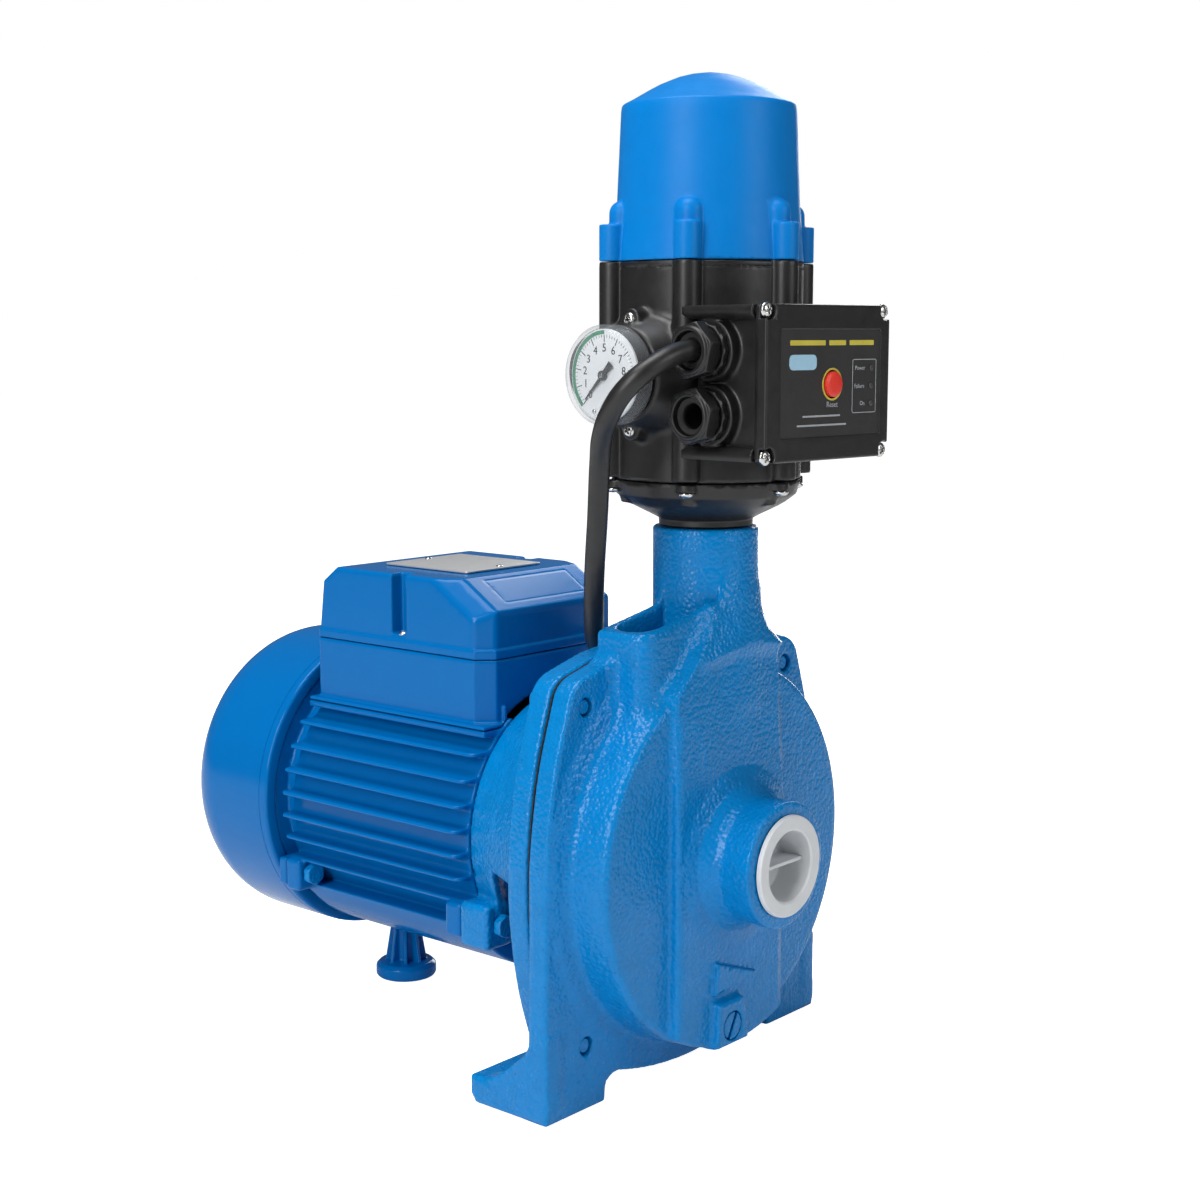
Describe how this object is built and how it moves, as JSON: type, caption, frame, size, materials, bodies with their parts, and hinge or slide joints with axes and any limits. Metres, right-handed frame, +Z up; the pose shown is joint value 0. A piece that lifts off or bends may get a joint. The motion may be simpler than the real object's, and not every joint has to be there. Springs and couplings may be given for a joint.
{
  "type": "centrifugal water pump",
  "caption": "Centrifugal water pump with a front suction port, a finned electric motor on feet, a terminal box, and an automatic pump control with a pressure gauge on its outlet.",
  "frame": {"origin": "on the base plane, under the middle of the overall length and between the casing's feet", "axes": "+Z up, -Y out of the suction port, +Y back along the motor shaft, +X to the right seen from the suction side"},
  "size_m": [0.19, 0.3286, 0.4244],
  "materials": {
    "cast_blue": "speckled satin paint on rough cast iron",
    "motor_blue": "smooth semi-gloss paint",
    "box_blue": "smooth semi-gloss moulding",
    "cap_blue": "satin moulding",
    "black_plastic": "fine-grained black moulding",
    "white_plastic": "satin white moulding",
    "red_plastic": "satin red moulding",
    "clear_plastic": "clear, polished",
    "green_board": "coated circuit board",
    "rubber": "matt black",
    "cable_sheath": "satin black sheath",
    "steel": "bright",
    "dark_steel": "dull laminated or ground steel",
    "brass": "machined brass",
    "copper": "varnished copper wire",
    "plate": "satin foil"
  },
  "bodies": {
    "pump": {"pump_casing": "cast_blue", "motor_bracket": "cast_blue", "drain_plug": "cast_blue", "casing_bolt_1": "cast_blue", "casing_bolt_2": "cast_blue", "casing_bolt_3": "cast_blue", "casing_bolt_4": "cast_blue", "front_frame_bolt_1": "cast_blue", "front_frame_bolt_2": "cast_blue", "rear_frame_bolt_1": "cast_blue", "rear_frame_bolt_2": "cast_blue", "motor_frame": "motor_blue", "rear_end_shield": "motor_blue", "fan_cover": "motor_blue", "terminal_box_base": "box_blue", "terminal_box_cover": "box_blue", "motor_foot": "box_blue", "control_cap": "cap_blue", "control_inlet_flange": "black_plastic", "control_body": "black_plastic", "control_box_housing": "black_plastic", "control_box_cover": "black_plastic", "upper_gland_body": "black_plastic", "upper_gland_nut": "black_plastic", "lower_gland_body": "black_plastic", "lower_gland_nut": "black_plastic", "box_cable_gland": "black_plastic", "gauge_case": "black_plastic", "capacitor": "white_plastic", "seal_seat": "white_plastic", "gauge_dial": "white_plastic", "gauge_lens": "clear_plastic", "circuit_board": "green_board", "casing_gasket": "rubber", "diaphragm": "rubber", "control_cable": "cable_sheath", "front_bearing": "steel", "rear_bearing": "steel", "pressure_spring": "steel", "valve_spring": "steel", "cover_screw_1": "steel", "cover_screw_2": "steel", "cover_screw_3": "steel", "cover_screw_4": "steel", "stator_core": "dark_steel", "stator_winding": "copper", "rating_plate": "plate"},
    "rotor": {"shaft": "steel", "rotor_core": "dark_steel", "impeller": "brass", "impeller_key": "dark_steel", "impeller_nut": "brass", "seal_rotating_ring": "dark_steel", "water_slinger": "rubber", "cooling_fan": "black_plastic"},
    "needle": {"gauge_needle": "black_plastic"},
    "reset": {"reset_button": "red_plastic"},
    "valve": {"check_valve": "white_plastic"},
    "plunger": {"spring_plunger": "white_plastic"},
    "plug": {"suction_port_plug": "white_plastic"}
  },
  "joints": [
    {"name": "shaft_spin", "type": "hinge", "parent": "pump", "child": "rotor", "pos_m": [0, 0, 0.098], "axis": [0, -1, 0], "continuous": true},
    {"name": "needle_turn", "type": "hinge", "parent": "pump", "child": "needle", "pos_m": [0.0085, -0.09573, 0.301], "axis": [0.9976, -0.0698, 0], "range_deg": [0, 270], "stiffness_Nm_per_rad": 0.0005},
    {"name": "reset_press", "type": "slide", "parent": "pump", "child": "reset", "axis": [0.0698, 0.9976, 0], "range_m": [0, 0.0018], "stiffness_N_per_m": 400},
    {"name": "valve_lift", "type": "slide", "parent": "pump", "child": "valve", "axis": [0, 0, 1], "range_m": [0, 0.008], "stiffness_N_per_m": 60, "deforming": ["valve_spring"]},
    {"name": "plunger_lift", "type": "slide", "parent": "pump", "child": "plunger", "axis": [0, 0, 1], "range_m": [0, 0.006], "stiffness_N_per_m": 4000, "deforming": ["pressure_spring"]},
    {"name": "plug_pull", "type": "slide", "parent": "pump", "child": "plug", "axis": [0, -1, 0], "range_m": [0, 0.035]}
  ]
}
